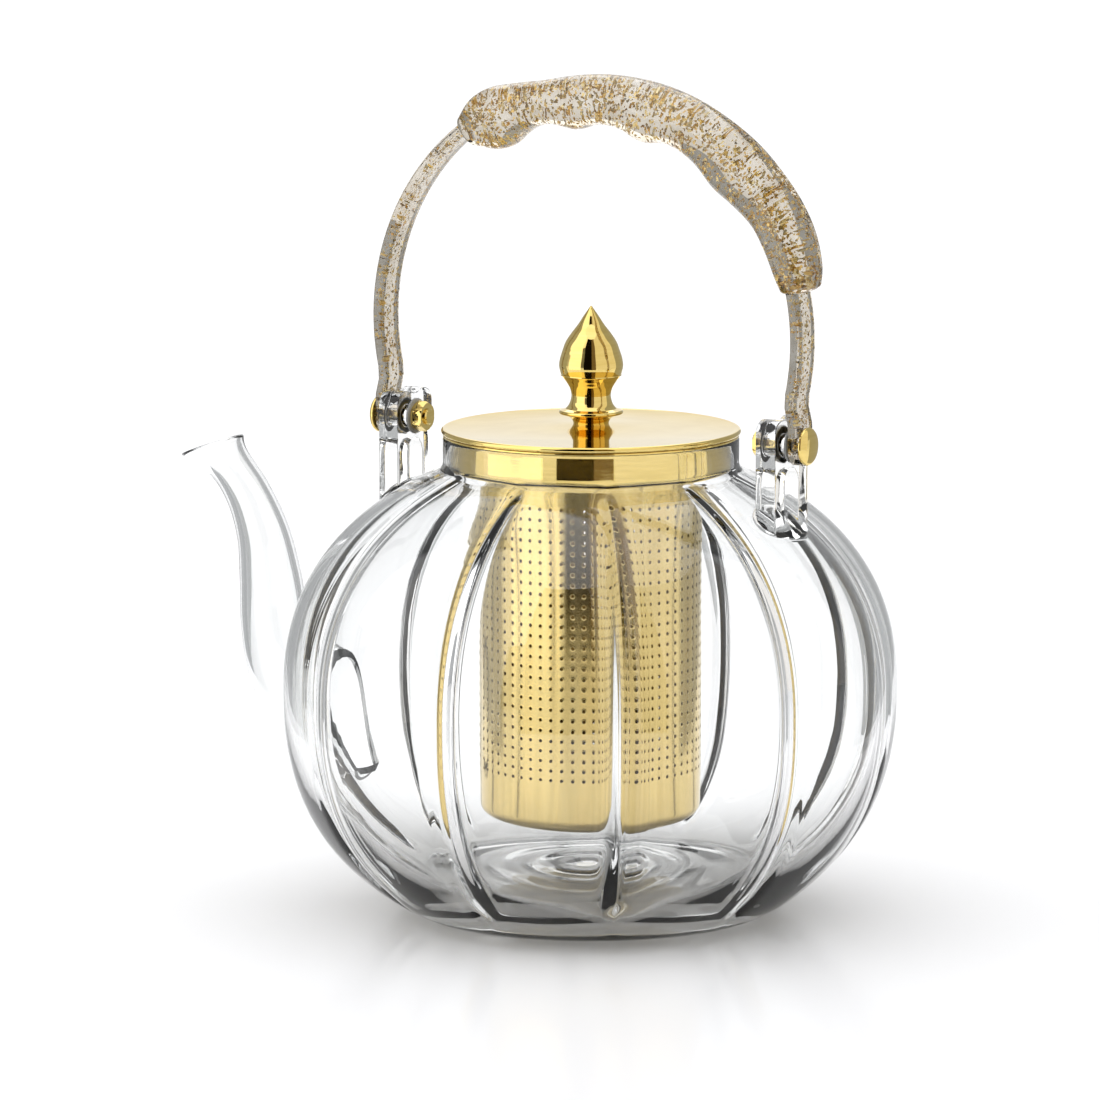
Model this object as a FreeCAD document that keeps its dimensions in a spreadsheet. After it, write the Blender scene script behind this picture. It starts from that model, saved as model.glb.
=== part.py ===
import FreeCAD, Part
import math
import os
import Sketcher

# Lobed glass teapot with a lift-out gold infuser, a knobbed lid and a swinging acrylic bail handle.
# Millimetres. The origin is the centre of the flat foot, +Z is up and the spout points to -X.
# The handle turns about a line along X, through one pivot bolt above the spout and one opposite it.

Vector = FreeCAD.Vector

SIZES = [
    # body of revolution before the lobes are pressed in
    ("body_radius", 75.0, "radius across the crowns of the lobes at the belly"),
    ("belly_height", 55.0, "height of the widest level"),
    ("lower_reach", 62.5, "half height of the curve below the belly"),
    ("lower_power", 2.4, "squareness of the curve below the belly"),
    ("upper_reach", 59.0, "half height of the curve above the belly"),
    ("upper_power", 2.2, "squareness of the curve above the belly"),
    ("wall", 2.2, "glass wall at the belly"),
    ("floor", 5.0, "thickness of the glass floor"),
    ("cavity_lower_reach", 56.0, "half height of the cavity curve below the belly"),
    ("cavity_upper_reach", 57.2, "half height of the cavity curve above the belly"),
    ("lobe_count", 10, "lobes around the body"),
    ("lobe_bulge", 1.5, "how far each lobe swells between its grooves"),
    ("groove_depth", 1.4, "extra depth of the narrow pressed groove"),
    ("groove_half_width", 1.9, "half width of the narrow groove"),
    ("neck_radius", 36.0, "outside of the neck"),
    ("neck_bore_radius", 34.7, "inside of the neck"),
    ("neck_fillet", 2.5, "hollow curve from the shoulder into the neck"),
    ("neck_top", 116.2, "height of the mouth"),
    # spout
    ("spout_wall", 1.3, "glass wall of the spout"),
    # infuser
    ("basket_radius", 27.1, "outside of the strainer basket"),
    ("basket_bottom", 21.0, "underside of the basket"),
    ("basket_corner", 3.5, "rounding at the bottom of the basket"),
    ("sheet_metal", 0.5, "thickness of the basket wall"),
    ("collar_radius", 34.5, "outside of the band inside the neck"),
    ("collar_wall", 0.6, "thickness of the band"),
    ("collar_bottom", 107.6, "underside of the band"),
    ("flange_thickness", 0.5, "flange that rests on the mouth"),
    ("seat_gap", 0.05, "play between pieces that rest on each other"),
    # lid
    ("lid_radius", 36.4, "outside of the rolled lid rim"),
    ("rim_thickness", 1.4, "height of the rolled lid rim"),
    ("lid_rise", 1.3, "how much the lid rises to its centre"),
    ("lid_plate", 0.7, "thickness of the lid plate"),
    ("lid_land_radius", 4.8, "flat middle of the lid under the knob"),
    ("lid_ring_radius", 33.2, "outside of the locating ring"),
    ("lid_ring_bottom", 109.6, "underside of the locating ring"),
    ("knob_radius", 7.8, "widest part of the knob and its flange"),
    ("knob_waist", 4.85, "radius of the knob's waist"),
    ("knob_height", 28.7, "height of the knob above the lid"),
    ("screw_radius", 2.0, "M4 shank of the knob screw and the pivot bolts"),
    # handle and its pivots
    ("pivot_height", 117.7, "height of the pivot line"),
    ("lug_distance", 52.5, "from the pot's axis to the middle of a lug"),
    ("lug_thickness", 5.4, "lug along the pivot line"),
    ("lug_width", 16.4, "lug across the pivot line"),
    ("lug_crown", 6.5, "lug above the pivot line"),
    ("lug_window", 7.2, "gap between the two posts of a lug"),
    ("bush_radius", 2.7, "outside of the silicone bush in the lug"),
    ("washer_thickness", 0.5, "silicone washer between lug and handle"),
    ("arch_height", 142.5, "height of the centre of the handle's arch"),
    ("arch_radius", 58.0, "middle of the strap"),
    ("strap_thickness", 3.2, "strap in the plane of the arch"),
    ("strap_width", 8.4, "strap across the plane of the arch"),
    ("pin_play", 0.06, "running play between the bolt and the handle"),
    ("cap_radius", 4.6, "head of a pivot bolt"),
    ("cap_dome", 1.0, "rise of the head's dome"),
]

doc = FreeCAD.newDocument("teapot")
sheet = doc.addObject("Spreadsheet::Sheet", "Sizes")
for row, (alias, number, meaning) in enumerate(SIZES, start=1):
    sheet.set(f"A{row}", meaning)
    sheet.set(f"B{row}", str(number))
    sheet.setAlias(f"B{row}", alias)
doc.recompute()


def size(alias):
    return float(sheet.get(alias))


def worked_out(expression):
    """The number that an expression of the sheet's sizes gives."""
    return float(sheet.evalExpression(expression))


# ---------------------------------------------------------------- sketches and PartDesign bodies

def origin_plane(body, role):
    return next(plane for plane in body.Origin.OriginFeatures if plane.Role == role)


def new_body(label):
    body = doc.addObject("PartDesign::Body", label)
    body.Label = label
    return body


def new_sketch(body, role, name):
    sketch = body.newObject("Sketcher::SketchObject", name)
    sketch.AttachmentSupport = [(origin_plane(body, role), "")]
    sketch.MapMode = "FlatFace"
    return sketch


def bind(sketch, kind, references, expression):
    """Adds a dimension to the sketch and ties it to the sheet."""
    index = sketch.addConstraint(Sketcher.Constraint(kind, *references, worked_out(expression)))
    sketch.setExpression(f"Constraints[{index}]", expression)


def arc_through(start, end, radius, turn):
    """Arc from start to end; turn +1 runs anticlockwise round its centre and -1 clockwise."""
    chord = end - start
    half = chord.Length / 2
    side = Vector(-chord.y, chord.x, 0).normalize() * turn
    centre = (start + end) / 2 + side * math.sqrt(max(radius ** 2 - half ** 2, 0.0))
    middle = centre - side * radius
    return Part.Arc(start, middle, end)


def outline(sketch, corners, arcs=None):
    """Closed outline. A corner is a pair of expressions; arcs gives a side its radius and turn."""
    arcs = arcs or {}
    points = [Vector(worked_out(across), worked_out(up), 0) for across, up in corners]
    count = len(points)
    first = sketch.GeometryCount
    ends = {}
    for side in range(count):
        start, end = points[side], points[(side + 1) % count]
        if side in arcs:
            radius, turn = arcs[side]
            sketch.addGeometry(arc_through(start, end, worked_out(radius), turn), False)
            # a sketch keeps every arc anticlockwise, so a clockwise one starts at its far end
            ends[side] = (1, 2) if turn > 0 else (2, 1)
        else:
            sketch.addGeometry(Part.LineSegment(start, end), False)
            ends[side] = (1, 2)
    for side in range(count):
        following = (side + 1) % count
        joint = (first + side, ends[side][1], first + following, ends[following][0])
        sketch.addConstraint(Sketcher.Constraint("Coincident", *joint))
        across, up = corners[side]
        bind(sketch, "DistanceX", (-1, 1, first + side, ends[side][0]), across)
        bind(sketch, "DistanceY", (-1, 1, first + side, ends[side][0]), up)
        if side in arcs:
            bind(sketch, "Radius", (first + side,), arcs[side][0])


def circle(sketch, across, up, radius):
    centre = Vector(worked_out(across), worked_out(up), 0)
    index = sketch.addGeometry(Part.Circle(centre, Vector(0, 0, 1), worked_out(radius)), False)
    bind(sketch, "DistanceX", (-1, 1, index, 3), across)
    bind(sketch, "DistanceY", (-1, 1, index, 3), up)
    bind(sketch, "Radius", (index,), radius)


def turned(label, corners, arcs=None):
    """A piece turned about its own Z axis from an outline of (radius, height) corners."""
    body = new_body(label)
    sketch = new_sketch(body, "XZ_Plane", label + "_outline")
    outline(sketch, corners, arcs)
    spin = body.newObject("PartDesign::Revolution", label + "_turned")
    spin.Profile = sketch
    spin.ReferenceAxis = (sketch, ["V_Axis"])
    spin.Angle = 360
    body.Tip = spin
    return body


def tube_outline(inner, outer, low, high):
    return [(inner, low), (outer, low), (outer, high), (inner, high)]


def padded(body, sketch, length):
    """Pads a sketch by the same amount to both sides."""
    pad = body.newObject("PartDesign::Pad", sketch.Name + "_pad")
    pad.Profile = sketch
    pad.Midplane = True
    pad.setExpression("Length", length)
    body.Tip = pad
    doc.recompute()
    return pad


def rounded(body, base, edges, radius):
    """Fillets the named edges of the last feature."""
    fillet = body.newObject("PartDesign::Fillet", base.Name + "_round")
    fillet.Base = (base, edges)
    fillet.setExpression("Radius", radius)
    body.Tip = fillet
    doc.recompute()
    return fillet


def edges_where(shape, test):
    return [f"Edge{number}" for number, edge in enumerate(shape.Edges, start=1) if test(edge)]


def cut(label, base, tool):
    result = doc.addObject("Part::Cut", label)
    result.Label = label
    result.Base = base
    result.Tool = tool
    return result


# ---------------------------------------------------------------- lobed glass body

CURVE_LEVELS = 7
COLUMNS_PER_HALF_LOBE = 9
GROOVE_CROWDING = 1.8


def half_profile(radius, reach, power, first_angle, last_angle, direction):
    """Points (radius, height) along a superellipse quarter, from one angle to another."""
    points = []
    for level in range(CURVE_LEVELS + 1):
        angle = first_angle + (last_angle - first_angle) * level / CURVE_LEVELS
        across = radius * math.cos(angle) ** (2 / power)
        up = direction * reach * math.sin(angle) ** (2 / power)
        points.append((across, size("belly_height") + up))
    return points


def meridian(radius, lower_reach, upper_reach, bottom, neck):
    """Levels from the flat bottom up to where the curve turns into the vertical neck."""
    lower_power, upper_power = size("lower_power"), size("upper_power")
    fillet = size("neck_fillet")
    lean = math.radians(65)
    drop = size("belly_height") - bottom
    first = math.asin((drop / lower_reach) ** (lower_power / 2))
    meeting = neck + fillet * (1 - math.cos(lean))
    last = math.acos((meeting / radius) ** (upper_power / 2))
    levels = half_profile(radius, lower_reach, lower_power, first, 0.0, -1)
    levels += half_profile(radius, upper_reach, upper_power, 0.0, last, 1)[1:]
    fillet_centre = levels[-1][1] + fillet * math.sin(lean)
    for angle in (math.radians(35), 0.0):
        across = neck + fillet * (1 - math.cos(angle))
        levels.append((across, fillet_centre - fillet * math.sin(angle)))
    return levels


def relief(radius, height, lowest, highest):
    """How much of the lobe pattern a level has: none at the foot and none at the neck."""
    rise = min(max((height - lowest) / 9.0, 0.0), 1.0)
    fall = min(max((highest - height) / 5.0, 0.0), 1.0)
    full = rise * rise * (3 - 2 * rise) * fall * fall * (3 - 2 * fall)
    return full * (0.35 + 0.65 * radius / size("body_radius"))


def lobe_grid(levels):
    """Points of one lobe, from the middle of one groove to the middle of the next."""
    half_pitch = math.pi / size("lobe_count")
    lowest, highest = levels[0][1], levels[-1][1]
    grid = []
    for radius, height in levels:
        share = relief(radius, height, lowest, highest)
        line = []
        for column in range(-COLUMNS_PER_HALF_LOBE, COLUMNS_PER_HALF_LOBE + 1):
            from_groove = 1 - abs(column) / COLUMNS_PER_HALF_LOBE
            offset = half_pitch * from_groove ** GROOVE_CROWDING
            swell = size("lobe_bulge") * (1 + math.cos(math.pi * offset / half_pitch)) / 2
            pinch = size("groove_depth") * math.exp(-(offset * radius / size("groove_half_width")) ** 2)
            across = radius - share * (swell + pinch)
            angle = math.copysign(half_pitch - offset, column)
            line.append(Vector(across * math.cos(angle), across * math.sin(angle), height))
        grid.append(line)
    return grid


def lobed_solid(levels):
    surface = Part.BSplineSurface()
    surface.interpolate(lobe_grid(levels))
    patch = surface.toShape()
    count = int(size("lobe_count"))
    faces = []
    for number in range(count):
        copy = patch.copy()
        copy.rotate(Vector(0, 0, 0), Vector(0, 0, 1), number * 360 / count)
        faces.append(copy)
    for height in (levels[0][1], levels[-1][1]):
        rim = []
        for face in faces[:count]:
            rim += [edge for edge in face.Edges if max(abs(v.Z - height) for v in edge.Vertexes) < 1e-6]
        faces.append(Part.Face(Part.Wire(Part.__sortEdges__(rim))))
    shell = Part.Shell(faces)
    shell.sewShape()
    solid = Part.Solid(shell)
    if solid.Volume < 0:
        solid.reverse()
    return solid


def lobed_feature(name, radius, lower_reach, upper_reach, bottom, neck):
    levels = meridian(radius, lower_reach, upper_reach, bottom, neck)
    feature = doc.addObject("Part::Feature", name)
    feature.Shape = lobed_solid(levels)
    return feature, levels[-1][1]


def neck_cylinder(name, radius, low, high):
    barrel = doc.addObject("Part::Cylinder", name)
    barrel.setExpression("Radius", radius)
    barrel.Height = high - low
    barrel.Placement.Base = Vector(0, 0, low)
    return barrel


outer_lobes, outer_neck_start = lobed_feature(
    "outer_lobes", size("body_radius"), size("lower_reach"), size("upper_reach"), 0.0, size("neck_radius"))
cavity_lobes, cavity_neck_start = lobed_feature(
    "cavity_lobes", size("body_radius") - size("wall"), size("cavity_lower_reach"),
    size("cavity_upper_reach"), size("floor"), size("neck_bore_radius"))
neck_outside = neck_cylinder("neck_outside", "Sizes.neck_radius", outer_neck_start, size("neck_top"))
neck_inside = neck_cylinder(
    "neck_inside", "Sizes.neck_bore_radius", cavity_neck_start, size("neck_top") + 1)
body_outside = doc.addObject("Part::Fuse", "body_outside")
body_outside.Base = outer_lobes
body_outside.Tool = neck_outside
cavity = doc.addObject("Part::Fuse", "cavity")
cavity.Base = cavity_lobes
cavity.Tool = neck_inside
body_shell = cut("body_shell", body_outside, cavity)


# ---------------------------------------------------------------- spout

# The spout's middle line from inside the pot's wall to the lip: (x, z, lean of the tube from the
# horizontal in degrees, half height of its section, half width of its section).
SPOUT_SECTIONS = [
    (-62.0, 36.0, 32, 19.0, 9.6),
    (-71.5, 41.5, 34, 18.2, 9.4),
    (-80.5, 46.5, 44, 14.5, 8.9),
    (-87.6, 54.5, 63, 10.8, 8.5),
    (-90.6, 64.0, 80, 8.8, 8.3),
    (-91.9, 75.0, 84, 7.7, 7.7),
    (-94.0, 85.5, 73, 6.6, 6.6),
    (-98.3, 95.0, 59, 5.7, 5.7),
    (-104.0, 102.3, 48, 5.6, 5.8),
    (-108.7, 106.6, 70, 8.6, 7.0),
]


def spout_loft(name, shrink, past_lip):
    """The tube's outside, or with shrink its bore, which runs on past the lip."""
    sections = []
    for number, (x, z, lean, half_height, half_width) in enumerate(SPOUT_SECTIONS):
        slope = math.radians(lean)
        along = Vector(-math.cos(slope), 0, math.sin(slope))
        upright = Vector(math.sin(slope), 0, math.cos(slope))
        centre = Vector(x, 0, z)
        last = number == len(SPOUT_SECTIONS) - 1
        if last:
            centre = centre + along * past_lip
        if number == 0:
            centre = centre - along * past_lip
        tall, wide = half_height - shrink, half_width - shrink
        major, minor = max(tall, wide + 0.001), min(tall, wide + 0.001)
        ellipse = Part.Ellipse(centre + upright * major, centre + Vector(0, minor, 0), centre)
        sections.append(Part.Wire(ellipse.toShape()))
    feature = doc.addObject("Part::Feature", name)
    feature.Shape = Part.makeLoft(sections, True, False)
    return feature


spout_outside = spout_loft("spout_outside", 0.0, 0.0)
spout_bore = spout_loft("spout_bore", size("spout_wall"), 0.4)
spout_tube = cut("spout_tube", spout_outside, body_outside)
glass_spout = cut("glass_spout", spout_tube, spout_bore)
glass_body = cut("glass_body", body_shell, spout_bore)


# ---------------------------------------------------------------- infuser

def infuser_basket():
    """Drum with a rounded bottom edge and a brim at the top that carries the band."""
    brim_top = "Sizes.collar_bottom + Sizes.collar_wall"
    wall_inside = "Sizes.basket_radius - Sizes.sheet_metal"
    corner_inside = "Sizes.basket_corner - Sizes.sheet_metal"
    corners = [
        ("0", "Sizes.basket_bottom"),
        ("Sizes.basket_radius - Sizes.basket_corner", "Sizes.basket_bottom"),
        ("Sizes.basket_radius", "Sizes.basket_bottom + Sizes.basket_corner"),
        ("Sizes.basket_radius", "Sizes.collar_bottom"),
        ("Sizes.collar_radius", "Sizes.collar_bottom"),
        ("Sizes.collar_radius", brim_top),
        (wall_inside, brim_top),
        (wall_inside, "Sizes.basket_bottom + Sizes.basket_corner"),
        ("Sizes.basket_radius - Sizes.basket_corner", "Sizes.basket_bottom + Sizes.sheet_metal"),
        ("0", "Sizes.basket_bottom + Sizes.sheet_metal"),
    ]
    return turned("infuser_basket", corners, {1: ("Sizes.basket_corner", 1), 7: (corner_inside, -1)})


def infuser_collar():
    """Band on the basket's brim, with the flange that rests on the mouth."""
    inside = "Sizes.collar_radius - Sizes.collar_wall"
    brim_top = "Sizes.collar_bottom + Sizes.collar_wall"
    seat = "Sizes.neck_top + Sizes.seat_gap"
    corners = [
        (inside, brim_top),
        ("Sizes.collar_radius", brim_top),
        ("Sizes.collar_radius", seat),
        ("Sizes.neck_radius", seat),
        ("Sizes.neck_radius", seat + " + Sizes.flange_thickness"),
        (inside, seat + " + Sizes.flange_thickness"),
    ]
    return turned("infuser_collar", corners)


infuser_basket()
infuser_collar()


# ---------------------------------------------------------------- lid and knob

LID_BOTTOM = "Sizes.neck_top + 2 * Sizes.seat_gap + Sizes.flange_thickness"
LID_TOP = f"{LID_BOTTOM} + Sizes.rim_thickness + Sizes.lid_rise - 0.2"
LID_UNDERSIDE = f"{LID_TOP} - Sizes.lid_plate"


def lid_disc():
    rim_inside = "Sizes.lid_radius - Sizes.rim_thickness"
    rim_middle = "Sizes.lid_radius - Sizes.rim_thickness / 2"
    corners = [
        ("Sizes.screw_radius + 0.1", LID_UNDERSIDE),
        ("Sizes.lid_land_radius", LID_UNDERSIDE),
        (rim_inside, f"{LID_BOTTOM} + Sizes.rim_thickness - 0.2 - Sizes.lid_plate"),
        (rim_inside, LID_BOTTOM),
        (rim_middle, LID_BOTTOM),
        (rim_middle, f"{LID_BOTTOM} + Sizes.rim_thickness"),
        (rim_inside, f"{LID_BOTTOM} + Sizes.rim_thickness - 0.2"),
        ("Sizes.lid_land_radius", LID_TOP),
        ("Sizes.screw_radius + 0.1", LID_TOP),
    ]
    return turned("lid_disc", corners, {4: ("Sizes.rim_thickness / 2 + 0.0001", 1)})


def lid_ring():
    inside = "Sizes.lid_ring_radius - Sizes.collar_wall"
    slope = "(Sizes.lid_rise / (Sizes.lid_radius - Sizes.rim_thickness - Sizes.lid_land_radius))"
    plate = f"{LID_BOTTOM} + Sizes.rim_thickness - 0.2 - Sizes.lid_plate"
    edge = "(Sizes.lid_radius - Sizes.rim_thickness)"
    corners = [
        (inside, "Sizes.lid_ring_bottom"),
        ("Sizes.lid_ring_radius", "Sizes.lid_ring_bottom"),
        ("Sizes.lid_ring_radius", f"{plate} + {slope} * ({edge} - Sizes.lid_ring_radius)"),
        (inside, f"{plate} + {slope} * ({edge} - Sizes.lid_ring_radius + Sizes.collar_wall)"),
    ]
    return turned("lid_ring", corners)


def knob():
    """A bud on a waist, on a saucer flange, on a short foot, with a blind hole for its screw."""
    corners = [
        ("Sizes.screw_radius", LID_TOP),
        ("4.3", LID_TOP),
        ("5.3", f"{LID_TOP} + 1.6"),
        ("Sizes.knob_radius - 0.5", f"{LID_TOP} + 2.3"),
        ("Sizes.knob_radius - 0.5", f"{LID_TOP} + 3.3"),
        ("5.7", f"{LID_TOP} + 4.1"),
        ("Sizes.knob_waist", f"{LID_TOP} + 7.3"),
        ("7.45", f"{LID_TOP} + 11.9"),
        ("Sizes.knob_radius", f"{LID_TOP} + 14.4"),
        ("2.3", f"{LID_TOP} + 24.3"),
        ("0.3", f"{LID_TOP} + Sizes.knob_height - 0.3"),
        ("0", f"{LID_TOP} + Sizes.knob_height"),
        ("0", f"{LID_TOP} + 8"),
        ("Sizes.screw_radius", f"{LID_TOP} + 8"),
    ]
    arcs = {
        1: ("2.4", -1), 3: ("0.501", 1), 5: ("5.5", -1), 6: ("6.2", 1),
        7: ("3.5", 1), 8: ("17", 1),
    }
    return turned("knob", corners, arcs)


def knob_washer():
    low = f"{LID_UNDERSIDE} - 0.6"
    return turned("knob_washer", tube_outline("Sizes.screw_radius", "4.5", low, LID_UNDERSIDE))


def knob_screw():
    seat = f"{LID_UNDERSIDE} - 0.6"
    corners = [
        ("0", f"{seat} - 2.2"),
        ("2.9", f"{seat} - 2.2"),
        ("3.6", f"{seat} - 1.5"),
        ("3.6", seat),
        ("Sizes.screw_radius", seat),
        ("Sizes.screw_radius", f"{LID_TOP} + 7.5"),
        ("0", f"{LID_TOP} + 7.5"),
    ]
    return turned("knob_screw", corners, {1: ("0.9", 1)})


lid_disc()
lid_ring()
knob()
knob_washer()
knob_screw()


# ---------------------------------------------------------------- lugs and pivot hardware

SIDES = {"front": -1, "rear": 1}


def lug(label, side):
    """Two glass posts joined by a round-topped head with the pivot bore; trimmed to the shoulder."""
    body = new_body(label + "_blank")
    sketch = new_sketch(body, "YZ_Plane", label + "_outline")
    half = "Sizes.lug_width / 2"
    foot = "Sizes.pivot_height - 24"
    crown = "Sizes.pivot_height + Sizes.lug_crown"
    shoulder = f"{crown} - 3.4"
    window_top = "Sizes.pivot_height - 9"
    outline(sketch, [
        (f"-{half}", foot),
        ("-Sizes.lug_window / 2", foot),
        ("-Sizes.lug_window / 2", window_top),
        ("Sizes.lug_window / 2", window_top),
        ("Sizes.lug_window / 2", foot),
        (half, foot),
        (half, shoulder),
        (f"{half} - 3.4", crown),
        (f"-{half} + 3.4", crown),
        (f"-{half}", shoulder),
    ], {2: ("Sizes.lug_window / 2 + 0.0001", -1), 6: ("3.4001", 1), 8: ("3.4001", 1)})
    circle(sketch, "0", "Sizes.pivot_height", "Sizes.bush_radius")
    pad = padded(body, sketch, "Sizes.lug_thickness")
    height = size("pivot_height")
    outer_rim = edges_where(pad.Shape, lambda edge: (
        abs(abs(edge.BoundBox.Center.x) - size("lug_thickness") / 2) < 1e-6
        and edge.BoundBox.Center.z > height + 1 and abs(edge.BoundBox.XLength) < 1e-6))
    rounded(body, pad, outer_rim, "1.0")
    body.Placement.Base = Vector(side * size("lug_distance"), 0, 0)
    return cut(label, body, body_outside)


def along_pivot(body, side):
    """Turns a piece made about Z so that its +Z points outwards along the pivot line."""
    turn = FreeCAD.Rotation(Vector(0, 1, 0), 90 * side)
    body.Placement = FreeCAD.Placement(Vector(0, 0, size("pivot_height")), turn)
    return body


LUG_INNER = "Sizes.lug_distance - Sizes.lug_thickness / 2"
LUG_OUTER = "Sizes.lug_distance + Sizes.lug_thickness / 2"
FOOT_INNER = f"{LUG_OUTER} + Sizes.washer_thickness + Sizes.seat_gap"
FOOT_OUTER = f"{FOOT_INNER} + Sizes.strap_thickness + 0.2"
CAP_SEAT = f"{FOOT_OUTER} + Sizes.seat_gap"


def pivot_bolt(label):
    """Domed gold head outside the handle's foot, with a shank through to the nut."""
    dome = "(Sizes.cap_radius * Sizes.cap_radius + Sizes.cap_dome * Sizes.cap_dome) / (2 * Sizes.cap_dome)"
    corners = [
        ("0", f"{LUG_INNER} - 4.3"),
        ("Sizes.screw_radius", f"{LUG_INNER} - 4.3"),
        ("Sizes.screw_radius", CAP_SEAT),
        ("Sizes.cap_radius", CAP_SEAT),
        ("Sizes.cap_radius", f"{CAP_SEAT} + 0.7"),
        ("0", f"{CAP_SEAT} + 0.7 + Sizes.cap_dome"),
    ]
    return turned(label, corners, {4: (dome, 1)})


def pivot_washer(label):
    high = f"{LUG_OUTER} + Sizes.washer_thickness"
    return turned(label, tube_outline("Sizes.screw_radius", "4.2", LUG_OUTER, high))


def pivot_bush(label):
    return turned(label, tube_outline("Sizes.screw_radius", "Sizes.bush_radius", LUG_INNER, LUG_OUTER))


def inner_washer(label):
    low = f"{LUG_INNER} - 0.6"
    return turned(label, tube_outline("Sizes.screw_radius", "4.4", low, LUG_INNER))


def pivot_nut(label):
    """Hexagon nut with its bore on the pivot bolt's thread."""
    body = new_body(label)
    sketch = new_sketch(body, "XY_Plane", label + "_outline")
    across_corners = "3.8"
    corners = []
    for number in range(6):
        angle = number * 60
        corners.append((f"{across_corners} * cos({angle} deg)", f"{across_corners} * sin({angle} deg)"))
    outline(sketch, corners)
    circle(sketch, "0", "0", "Sizes.screw_radius")
    sketch.AttachmentOffset.Base = Vector(0, 0, worked_out(f"{LUG_INNER} - 3.6"))
    pad = body.newObject("PartDesign::Pad", label + "_pad")
    pad.Profile = sketch
    pad.setExpression("Length", "3.0")
    body.Tip = pad
    return body


for place, side in SIDES.items():
    lug(f"lug_{place}", side)
    for make, name in ((pivot_bolt, "pivot_bolt"), (pivot_washer, "pivot_washer"),
                       (pivot_bush, "pivot_bush"), (inner_washer, "inner_washer"),
                       (pivot_nut, "pivot_nut")):
        along_pivot(make(f"{name}_{place}"), side)


# ---------------------------------------------------------------- bail handle

ARCH_DROP_ANGLE = 14.0


def handle_strap():
    """Flat arch with a foot at each end that hangs on the pivot bolt."""
    body = new_body("handle_strap")
    sketch = new_sketch(body, "XZ_Plane", "strap_outline")
    outside = "(Sizes.arch_radius + Sizes.strap_thickness / 2)"
    inside = "(Sizes.arch_radius - Sizes.strap_thickness / 2)"
    angle = f"{ARCH_DROP_ANGLE} deg"
    foot_bottom = "Sizes.pivot_height - Sizes.strap_width / 2 - 0.5"
    foot_top = "Sizes.pivot_height + 5.2"
    outside_drop = f"Sizes.arch_height - {outside} * sin({angle})"
    inside_drop = f"Sizes.arch_height - {inside} * sin({angle})"
    outline(sketch, [
        (FOOT_OUTER, foot_bottom),
        (FOOT_OUTER, foot_top),
        (f"{outside} * cos({angle})", outside_drop),
        ("0", f"Sizes.arch_height + {outside}"),
        (f"-{outside} * cos({angle})", outside_drop),
        (f"-({FOOT_OUTER})", foot_top),
        (f"-({FOOT_OUTER})", foot_bottom),
        (f"-({FOOT_INNER})", foot_bottom),
        (f"-({FOOT_INNER})", foot_top),
        (f"-{inside} * cos({angle})", inside_drop),
        ("0", f"Sizes.arch_height + {inside}"),
        (f"{inside} * cos({angle})", inside_drop),
        (FOOT_INNER, foot_top),
        (FOOT_INNER, foot_bottom),
    ], {2: (outside, 1), 3: (outside, 1), 9: (inside, -1), 10: (inside, -1)})
    pad = padded(body, sketch, "Sizes.strap_width")
    low = worked_out(foot_bottom)
    foot_corners = edges_where(pad.Shape, lambda edge: (
        abs(edge.BoundBox.Center.z - low) < 1e-6 and edge.BoundBox.YLength < 1e-6))
    feet = rounded(body, pad, foot_corners, "Sizes.strap_width / 2 - 0.1")
    bore = new_sketch(body, "YZ_Plane", "strap_bore_outline")
    circle(bore, "0", "Sizes.pivot_height", "Sizes.screw_radius + Sizes.pin_play")
    pocket = body.newObject("PartDesign::Pocket", "strap_bore")
    pocket.Profile = bore
    pocket.Type = "ThroughAll"
    pocket.Midplane = True
    body.Tip = pocket
    doc.recompute()
    if pocket.Shape.Volume > feet.Shape.Volume - 1:
        raise RuntimeError("the bolt holes in the handle's feet cut nothing")
    return body


# Grip sections: (angle on the arch in degrees, outer and inner distance from the arch's centre,
# half width). The inner distance is least at the finger swells.
GRIP_SECTIONS = [
    (13.0, 63.4, 54.6, 5.6), (17.0, 64.8, 53.8, 6.2), (24.0, 65.8, 53.4, 6.4), (31.0, 65.8, 53.0, 6.5),
    (38.0, 65.4, 51.4, 6.5), (46.0, 65.0, 49.9, 6.5), (55.0, 64.2, 51.0, 6.4), (64.0, 63.6, 50.8, 6.4),
    (72.0, 63.0, 48.3, 6.5), (80.0, 62.3, 49.6, 6.4), (87.0, 61.8, 49.6, 6.4), (94.0, 61.3, 48.2, 6.5),
    (102.0, 61.0, 50.1, 6.3), (109.0, 62.0, 50.2, 6.3), (116.0, 63.6, 48.5, 6.5),
    (121.0, 63.4, 49.2, 6.4), (125.5, 61.4, 52.4, 5.6),
]
GRIP_SQUARENESS = 2.5
GRIP_SECTION_POINTS = 16


def squarish(number):
    """Point of a unit superellipse, as (across, up)."""
    angle = 2 * math.pi * (number + 0.5) / GRIP_SECTION_POINTS
    power = 2 / GRIP_SQUARENESS
    across = math.copysign(abs(math.cos(angle)) ** power, math.cos(angle))
    up = math.copysign(abs(math.sin(angle)) ** power, math.sin(angle))
    return across, up


def grip_blank():
    """Cast grip over the rear two thirds of the arch, with finger swells below."""
    sections = []
    for angle, outer, inner, half_width in GRIP_SECTIONS:
        turn = math.radians(angle)
        outward = Vector(math.cos(turn), 0, math.sin(turn))
        centre = Vector(0, 0, size("arch_height")) + outward * (outer + inner) / 2
        points = []
        for number in range(GRIP_SECTION_POINTS):
            across, up = squarish(number)
            points.append(centre + Vector(0, half_width * across, 0) + outward * up * (outer - inner) / 2)
        curve = Part.BSplineCurve()
        curve.interpolate(points, PeriodicFlag=True)
        sections.append(Part.Wire(curve.toShape()))
    feature = doc.addObject("Part::Feature", "grip_blank")
    feature.Shape = Part.makeLoft(sections, True, False)
    return feature


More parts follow.
